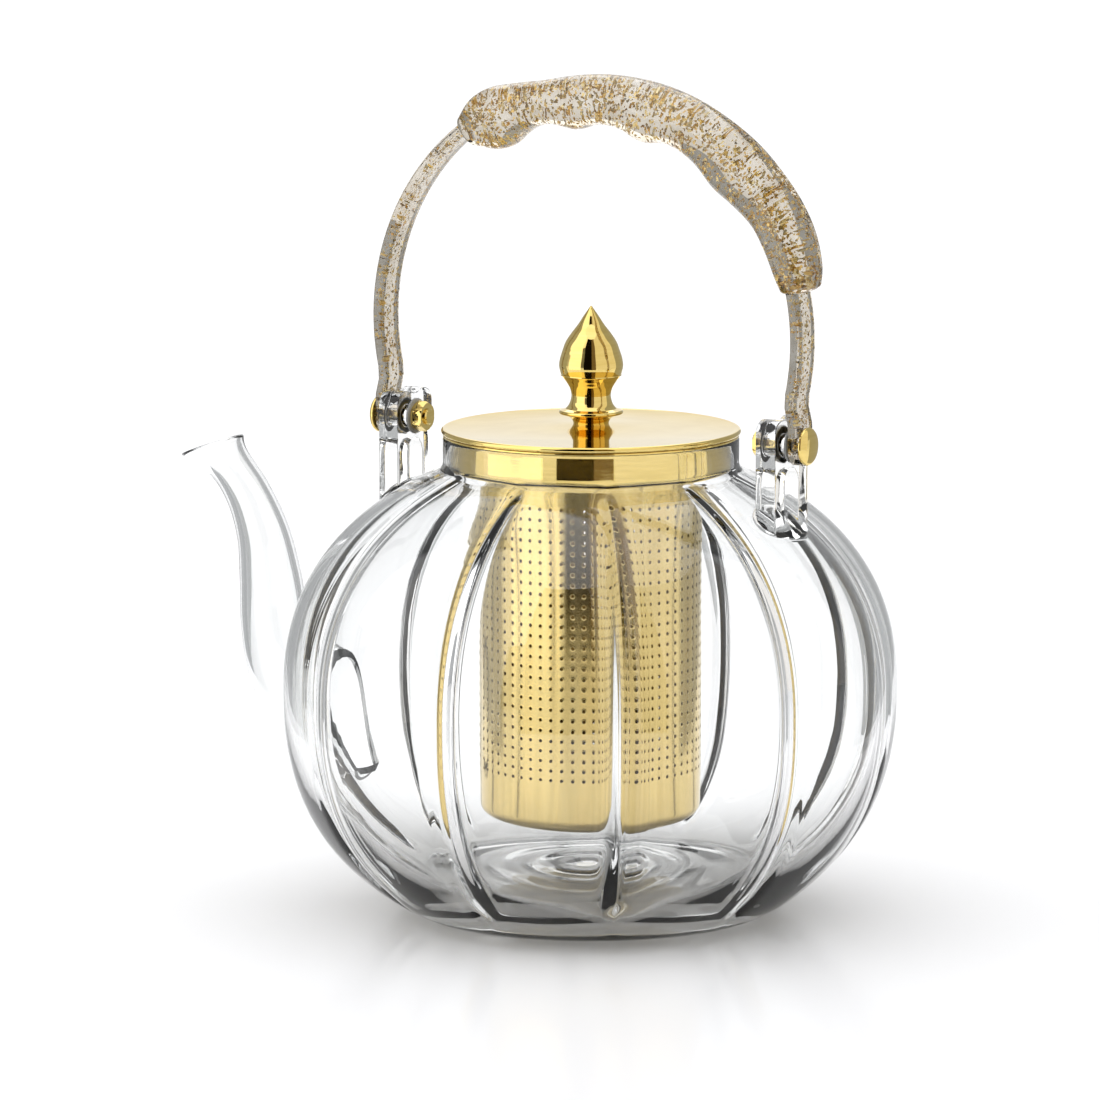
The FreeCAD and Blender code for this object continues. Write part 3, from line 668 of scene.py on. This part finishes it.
def knob_profile():
    """Saucer flange on a short foot, a waist and a pointed bud with a soft crease at its widest."""
    turned = [(4.3, 0.0), (4.4, 0.5), (4.75, 1.15), (5.35, 1.6)]
    rim = [(7.3 + 0.5 * math.cos(a), 2.8 + 0.5 * math.sin(a)) for a in np.radians(np.linspace(-90, 90, 9))]
    waist = between([(6.2, 3.62), (5.35, 4.7), (4.87, 6.2), (4.86, 7.3), (5.35, 8.9), (6.3, 10.4),
                     (7.2, 11.55)], 5)
    crease = [(7.42, 11.75), (7.36, 11.95)]
    bud = between([(7.45, 12.2), (7.75, 13.5), (7.8, 14.5), (7.55, 16.0), (6.95, 17.9), (6.15, 20.0),
                   (4.75, 22.1), (3.2, 24.1), (1.9, 26.1), (0.85, 27.6), (0.3, 28.4), (0.02, 28.66)], 5)
    rows = [*turned, *rim, *waist, *crease, *bud]
    return [(radius, LID_TOP + height) for radius, height in rows]


def knob():
    return lathe("knob_bud", [(0.02, LID_TOP), *knob_profile()], 128, closed=False, sharp_degrees=28)


finish_piece(lid_plate(), POLISHED, "lid", "polished_gold", "lid_disc")
finish_piece(knob(), POLISHED, "lid", "polished_gold", "knob")


# ---------------------------------------------------------------- pivots

PIN = 2.0
PIN_BORE = 2.02


def pivot_parts(place, side):
    """Bolt with a domed head, hexagon nut, washers and bush on one end of the pivot line."""
    inner, outer = LUG_MIDDLE - LUG_THICKNESS / 2, LUG_MIDDLE + LUG_THICKNESS / 2
    seat = abs(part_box(f"pivot_bolt_{place}")[0 if side < 0 else 1].x) / MM - 1.7
    dome = np.radians(np.linspace(20, 90, 10))
    head = [(4.4 * math.cos(a), seat + 0.75 + 0.93 * math.sin(a)) for a in dome]
    bolt = [(0.02, inner - 4.3), (1.7, inner - 4.3), (PIN, inner - 4.0), (PIN, seat), (4.3, seat),
            (4.55, seat + 0.15), (4.6, seat + 0.45), (4.45, seat + 0.8), *head]
    bolt[-1] = (0.02, bolt[-1][1])
    washer = [(PIN_BORE, outer), (4.2, outer), (4.2, outer + 0.5), (PIN_BORE, outer + 0.5)]
    washer = round_corners(washer, {1: 0.15, 2: 0.15})
    sleeve = [(PIN_BORE, inner), (2.68, inner), (2.68, outer), (PIN_BORE, outer)]
    back = [(PIN_BORE, inner - 0.6), (4.4, inner - 0.6), (4.4, inner), (PIN_BORE, inner)]
    back = round_corners(back, {1: 0.2, 2: 0.2})
    pieces = [
        ("bolt", bolt, False, POLISHED, "polished_gold", "pivot_bolt"),
        ("washer", washer, True, SILICONE, "silicone", "pivot_washer"),
        ("bush", sleeve, True, CLEAR_SILICONE, "silicone", "pivot_bush"),
        ("inner_washer", back, True, SILICONE, "silicone", "inner_washer"),
    ]
    for name, profile, closed, look, slot_name, cad in pieces:
        mirrored = [(radius, side * along) for radius, along in profile]
        piece = lathe(f"{name}_{place}", mirrored, 72, "X", closed=closed)
        finish_piece(piece, look, "pot", slot_name, f"{cad}_{place}")
    nut = hexagon_nut(f"nut_{place}", side, inner - 3.6, 3.0)
    finish_piece(nut, POLISHED, "pot", "polished_gold", f"pivot_nut_{place}")


def hexagon_nut(name, side, start, length):
    """Hexagon nut with chamfered corners and a plain bore."""
    corner, bore, segments = 3.75, PIN_BORE, 48
    turn = np.linspace(0, 2 * math.pi, segments, endpoint=False)
    flat = corner * math.cos(math.pi / 6) / np.cos((turn + math.pi / 6) % (math.pi / 3) - math.pi / 6)
    chamfer = np.minimum(flat, corner * 0.9)
    rings = []
    for radius, along in ((bore, 0.0), (chamfer, 0.0), (flat, 0.35), (flat, length - 0.35), (chamfer, length),
                          (bore, length)):
        radius = radius * np.ones(segments)
        rings.append(np.stack([np.full(segments, side * (start + along)), radius * np.cos(turn),
                               radius * np.sin(turn) + PIVOT], axis=1))
    faces = grid_faces(6, segments)
    for column in range(segments):
        after = (column + 1) % segments
        faces.append((5 * segments + column, 5 * segments + after, after, column))
    return new_object(name, np.array(rings).reshape(-1, 3), faces, 25)


for where, direction in (("front", -1), ("rear", 1)):
    pivot_parts(where, direction)


# ---------------------------------------------------------------- handle

ARCH_HEIGHT = 142.5
ARCH_RADIUS = 58.0
ARCH_DROP = math.radians(14)
STRAP_HALF_WIDTH = 4.2
STRAP_HALF_THICKNESS = 1.6
FOOT_MIDDLE = 57.45
FOOT_BORE = 2.06
FOOT_BOTTOM = PIVOT - 4.7

# Grip sections: (angle on the arch in degrees, outer and inner distance from its centre, half width).
GRIP_SECTIONS = [
    (13.0, 63.4, 54.6, 5.6), (17.0, 64.8, 53.8, 6.2), (24.0, 65.8, 53.4, 6.4), (31.0, 65.8, 53.0, 6.5),
    (38.0, 65.4, 51.4, 6.5), (46.0, 65.0, 49.9, 6.5), (55.0, 64.2, 51.0, 6.4), (64.0, 63.6, 50.8, 6.4),
    (72.0, 63.0, 48.3, 6.5), (80.0, 62.3, 49.6, 6.4), (87.0, 61.8, 49.6, 6.4), (94.0, 61.3, 48.2, 6.5),
    (102.0, 61.0, 50.1, 6.3), (109.0, 62.0, 50.2, 6.3), (116.0, 63.6, 48.5, 6.5),
    (121.0, 63.4, 49.2, 6.4), (125.5, 61.4, 52.4, 5.6),
]


def squarish(count, power):
    """Points of a unit superellipse."""
    turn = 2 * math.pi * (np.arange(count) + 0.5) / count
    across = np.sign(np.cos(turn)) * np.abs(np.cos(turn)) ** (2 / power)
    up = np.sign(np.sin(turn)) * np.abs(np.sin(turn)) ** (2 / power)
    return np.stack([across, up], axis=1)


def strap_stations():
    """Centres, outward directions and half widths along the strap from the rear foot to the front one."""
    stations = []
    round_centre = FOOT_BOTTOM + STRAP_HALF_WIDTH
    for share in (0.02, 0.08, 0.18, 0.32, 0.5, 0.7, 0.9, 1.0):
        height = FOOT_BOTTOM + share * STRAP_HALF_WIDTH
        half = math.sqrt(STRAP_HALF_WIDTH ** 2 - (round_centre - height) ** 2)
        stations.append(((FOOT_MIDDLE, height), (1.0, 0.0), half))
    stations.append(((FOOT_MIDDLE, PIVOT + 4.2), (1.0, 0.0), STRAP_HALF_WIDTH))
    start = (ARCH_RADIUS * math.cos(ARCH_DROP), ARCH_HEIGHT - ARCH_RADIUS * math.sin(ARCH_DROP))
    stations.append(((FOOT_MIDDLE - 0.1, PIVOT + 5.6), (0.998, -0.06), STRAP_HALF_WIDTH))
    stations.append(((start[0] + 0.25, start[1] - 1.5), (0.985, -0.17), STRAP_HALF_WIDTH))
    for angle in np.linspace(-ARCH_DROP + 0.03, math.pi / 2, 48):
        outward = (math.cos(angle), math.sin(angle))
        centre = (ARCH_RADIUS * outward[0], ARCH_HEIGHT + ARCH_RADIUS * outward[1])
        stations.append((centre, outward, STRAP_HALF_WIDTH))
    mirrored = [((-x, z), (-dx, dz), half) for (x, z), (dx, dz), half in reversed(stations[:-1])]
    return stations + mirrored


def strap():
    shape = squarish(32, 5.0)
    rings = []
    for (x, z), (dx, dz), half in strap_stations():
        outward = np.array([dx, 0, dz])
        rings.append(np.array([x, 0, z]) + np.outer(shape[:, 0] * half, (0, 1, 0))
                     + np.outer(shape[:, 1] * STRAP_HALF_THICKNESS, outward))
    return capped_grid("handle_acrylic", np.array(rings), 45)


def grip_sections(steps):
    """Sections of the grip, rounded off at both ends."""
    rows = between(GRIP_SECTIONS, steps)
    angle, outer, inner, half = rows.T
    return angle, (outer + inner) / 2, (outer - inner) / 2, half


def grip():
    shape = squarish(48, 2.5)
    angle, middle, tall, half = grip_sections(5)
    rings = []
    ends = [(0.45, -1.3), (0.75, -0.95), (0.93, -0.45)]
    order = [(0, shrink, shift) for shrink, shift in ends]
    order += [(number, 1.0, 0.0) for number in range(len(angle))]
    order += [(len(angle) - 1, shrink, -shift) for shrink, shift in reversed(ends)]
    for number, shrink, shift in order:
        turn = math.radians(angle[number] + shift)
        outward = np.array([math.cos(turn), 0, math.sin(turn)])
        centre = np.array([0, 0, ARCH_HEIGHT]) + outward * middle[number]
        rings.append(centre + np.outer(shape[:, 0] * half[number] * shrink, (0, 1, 0))
                     + np.outer(shape[:, 1] * tall[number] * shrink, outward))
    return capped_grid("grip_blank", np.array(rings), 60)


def make_handle():
    handle = strap()
    combine(handle, grip(), "UNION")
    for side in (-1, 1):
        profile = [(FOOT_BORE, side * 52.0), (FOOT_BORE, side * 63.0)]
        combine(handle, lathe("foot_bore", profile, 40, "X", closed=False), "DIFFERENCE")
    smooth_mesh(handle.data, 40)
    finish_piece(handle, ACRYLIC, "handle", "flake_acrylic", "handle_strap", "handle_grip")


def flake_object(name, centres, normals):
    """Small four-cornered foil flakes, each turned and tilted at random round its normal."""
    count = len(centres)
    size = RANDOM.uniform(0.24, 0.5, count) * RANDOM.uniform(0.6, 1.3, count)
    tilt = RANDOM.normal(0, 0.45, (count, 3))
    normals = normals + tilt
    normals /= np.linalg.norm(normals, axis=1, keepdims=True)
    side = np.cross(normals, RANDOM.normal(0, 1, (count, 3)))
    side /= np.linalg.norm(side, axis=1, keepdims=True)
    other = np.cross(normals, side)
    corners = []
    for turn in range(4):
        angle = turn * math.pi / 2 + RANDOM.uniform(-0.5, 0.5, count)
        reach = size * RANDOM.uniform(0.6, 1.4, count)
        corners.append(centres + side * (np.cos(angle) * reach)[:, None]
                       + other * (np.sin(angle) * reach)[:, None])
    points = np.stack(corners, axis=1).reshape(-1, 3)
    faces = [(4 * n, 4 * n + 1, 4 * n + 2, 4 * n + 3) for n in range(count)]
    mesh = bpy.data.meshes.new(name)
    mesh.from_pydata((points * MM).tolist(), [], faces)
    flakes = bpy.data.objects.new(name, mesh)
    bpy.context.scene.collection.objects.link(flakes)
    return flakes


def strap_flakes(count):
    """Flakes through the thickness of the strap, clear of its surface and of the bolt holes."""
    stations = strap_stations()[4:-4]
    centres = np.array([(x, 0, z) for (x, z), _, _ in stations])
    outwards = np.array([(dx, 0, dz) for _, (dx, dz), _ in stations])
    steps = np.concatenate([[0.0], np.cumsum(np.linalg.norm(np.diff(centres, axis=0), axis=1))])
    where = RANDOM.uniform(0, steps[-1], count)
    middle = np.stack([np.interp(where, steps, centres[:, axis]) for axis in range(3)], axis=1)
    outward = np.stack([np.interp(where, steps, outwards[:, axis]) for axis in range(3)], axis=1)
    outward /= np.linalg.norm(outward, axis=1, keepdims=True)
    depth = RANDOM.uniform(-1, 1, count) * (STRAP_HALF_THICKNESS - 0.65)
    across = RANDOM.uniform(-1, 1, count) * (STRAP_HALF_WIDTH - 0.9)
    points = middle + outward * depth[:, None] + np.outer(across, (0, 1, 0))
    clear = np.hypot(points[:, 1], points[:, 2] - PIVOT) > 3.1
    return flake_object("strap_flakes", points[clear], outward[clear])


def grip_flakes(count):
    """Flakes in the outer layer of the grip."""
    angle, middle, tall, half = grip_sections(5)
    where = RANDOM.uniform(1, len(angle) - 2, count)
    index = np.arange(len(angle))
    turn = np.radians(np.interp(where, index, angle))
    outward = np.stack([np.cos(turn), np.zeros(count), np.sin(turn)], axis=1)
    round_turn = RANDOM.uniform(0, 2 * math.pi, count)
    across = np.sign(np.cos(round_turn)) * np.abs(np.cos(round_turn)) ** 0.8
    up = np.sign(np.sin(round_turn)) * np.abs(np.sin(round_turn)) ** 0.8
    depth = RANDOM.uniform(0.55, 0.88, count)
    points = np.array([0, 0, ARCH_HEIGHT]) + outward * (np.interp(where, index, middle)
                                                       + up * depth * np.interp(where, index, tall))[:, None]
    points = points + np.outer(across * depth * np.interp(where, index, half), (0, 1, 0))
    normals = np.outer(across, (0, 1, 0)) + outward * up[:, None]
    return flake_object("grip_flakes", points, normals)


make_handle()
finish_piece(strap_flakes(2600), FOIL, "handle", "flake_acrylic")
finish_piece(grip_flakes(4600), FOIL, "handle", "flake_acrylic")


# ---------------------------------------------------------------- carried-over CAD nodes

for name, look in (("lid_ring", SATIN), ("knob_screw", SATIN), ("knob_washer", SILICONE)):
    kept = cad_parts[name]
    kept.data.materials.clear()
    kept.data.materials.append(look)


# ---------------------------------------------------------------- studio

CAMERA_AZIMUTH = 30.0
CAMERA_PITCH = 8.76
CAMERA_DISTANCE = 1.944
AIM_ACROSS = -0.00996
AIM_HEIGHT = 0.08813
LENS = 261.8

azimuth, pitch = math.radians(CAMERA_AZIMUTH), math.radians(CAMERA_PITCH)
RIGHT = Vector((math.cos(azimuth), math.sin(azimuth), 0))
TOWARDS = Vector((math.sin(azimuth), -math.cos(azimuth), 0))


def make_camera():
    data = bpy.data.cameras.new("camera")
    data.lens = LENS
    data.sensor_width = 36.0
    data.clip_start, data.clip_end = 0.05, 30.0
    camera = bpy.data.objects.new("camera", data)
    bpy.context.scene.collection.objects.link(camera)
    back = TOWARDS * math.cos(pitch) + Vector((0, 0, math.sin(pitch)))
    camera.location = RIGHT * AIM_ACROSS + back * CAMERA_DISTANCE + Vector((0, 0, AIM_HEIGHT))
    camera.rotation_mode = "QUATERNION"
    camera.rotation_quaternion = back.to_track_quat("Z", "Y")
    bpy.context.scene.camera = camera


def make_floor():
    """Pale glossy table that runs on to the horizon."""
    reach, columns = 8.0, 96
    turn = np.linspace(0, 2 * math.pi, columns, endpoint=False)
    rings = [np.stack([radius * np.cos(turn), radius * np.sin(turn), np.zeros(columns)], axis=1)
             for radius in (0.2, 0.5, 1.0, 2.0, 4.0, reach)]
    rings = np.array(rings) / MM
    points = rings.reshape(-1, 3).tolist() + [[0, 0, 0]]
    faces = grid_faces(len(rings), columns)
    faces += [(column, (column + 1) % columns, len(points) - 1) for column in range(columns)]
    floor = new_object("floor", points, faces)
    floor.location.z = -0.0002
    made, tree, shader = material("floor_white", Roughness=0.16, IOR=1.12, Base_Color=(0.93, 0.93, 0.935, 1))
    noise = object_noise(tree, 3.0, (1, 1, 1), 2.0)
    tint = ramp(tree, noise.outputs["Fac"], [(0.2, (0.915, 0.915, 0.92)), (0.8, (0.935, 0.935, 0.94))])
    tree.links.new(tint.outputs["Color"], shader.inputs["Base Color"])
    floor.data.materials.append(made)


def curved(first, last, radius=0.42):
    """Line round the pot between two bearings from the camera's side, in degrees."""
    bearings = np.radians(np.linspace(first, last, 9))
    return [(TOWARDS * math.cos(bearing) + RIGHT * math.sin(bearing)) * radius for bearing in bearings]


def straight(across, near, far):
    """Line beside the pot that runs away from the camera."""
    return [RIGHT * across - TOWARDS * depth for depth in (near, far)]


def reflection_card(name, line, low, high, colour, strength):
    """Upright card along a line on the floor, seen only in gloss and through glass."""
    points, faces = [], []
    for spot in line:
        points += [(spot.x / MM, spot.y / MM, low / MM), (spot.x / MM, spot.y / MM, high / MM)]
    for number in range(len(line) - 1):
        faces.append((2 * number, 2 * number + 2, 2 * number + 3, 2 * number + 1))
    card = new_object(name, points, faces)
    made = bpy.data.materials.new(name)
    made.use_nodes = True
    tree = made.node_tree
    tree.nodes.remove(tree.nodes["Principled BSDF"])
    glow = node(tree, "ShaderNodeEmission", Color=(*colour, 1), Strength=strength)
    tree.links.new(glow.outputs["Emission"], tree.nodes["Material Output"].inputs["Surface"])
    card.data.materials.append(made)
    card.visible_camera = False
    card.visible_diffuse = False
    card.visible_shadow = False
    card.visible_volume_scatter = False


def make_cards():
    dark, grey = (0.35, 0.26, 0.16), (0.97, 0.99, 1.0)
    cards = [
        ("flag_centre", curved(-27, 2), 0.0, 0.9, dark, 0.02),
        ("flag_centre_right", curved(2, 17), 0.0, 0.9, dark, 0.55),
        ("card_right", curved(17, 100), 0.05, 0.9, (1.0, 0.97, 0.93), 0.95),
        ("card_left", curved(-88, -38), 0.0, 0.9, (1.0, 0.99, 0.97), 1.7),
        ("flag_side_left", straight(-0.2, 0.03, 0.8), 0.0, 0.5, grey, 0.45),
        ("flag_side_right", straight(0.2, 0.03, 0.8), 0.0, 0.5, grey, 0.45),
    ]
    for card in cards:
        reflection_card(*card)


def make_world():
    """Surround that is white behind the pot and grey to its sides and on the camera's side."""
    world = bpy.data.worlds.new("studio")
    world.use_nodes = True
    tree = world.node_tree
    where = node(tree, "ShaderNodeTexCoord")
    ahead = node(tree, "ShaderNodeVectorMath", operation="DOT_PRODUCT")
    ahead.inputs[1].default_value = TOWARDS
    tree.links.new(where.outputs["Generated"], ahead.inputs[0])
    half = node(tree, "ShaderNodeMath", operation="MULTIPLY_ADD")
    half.inputs[1].default_value, half.inputs[2].default_value = 0.5, 0.5
    tree.links.new(ahead.outputs["Value"], half.inputs[0])
    tone = ramp(tree, half.outputs["Value"], [
        (0.0, (1.0, 1.0, 1.0)), (0.08, (0.98, 0.98, 0.99)), (0.2, (0.5, 0.51, 0.53)),
        (0.4, (0.4, 0.41, 0.43)), (0.5, (0.7, 0.7, 0.72)), (0.65, (0.35, 0.35, 0.36)),
        (1.0, (0.15, 0.15, 0.15))])
    tree.links.new(tone.outputs["Color"], tree.nodes["Background"].inputs["Color"])
    tree.nodes["Background"].inputs["Strength"].default_value = 1.0
    bpy.context.scene.world = world


def make_lights():
    """One very wide overhead panel, a little behind and to the left."""
    sun = bpy.data.lights.new("sky_panel", "SUN")
    sun.energy = 2.55
    sun.angle = math.radians(120)
    panel = bpy.data.objects.new("sky_panel", sun)
    bpy.context.scene.collection.objects.link(panel)
    panel.rotation_mode = "QUATERNION"
    panel.rotation_quaternion = (-TOWARDS * 0.15 - RIGHT * 0.2 + Vector((0, 0, 1))).to_track_quat("Z", "Y")


make_camera()
make_floor()
make_cards()
make_world()
make_lights()
bpy.context.scene.view_settings.view_transform = "Standard"
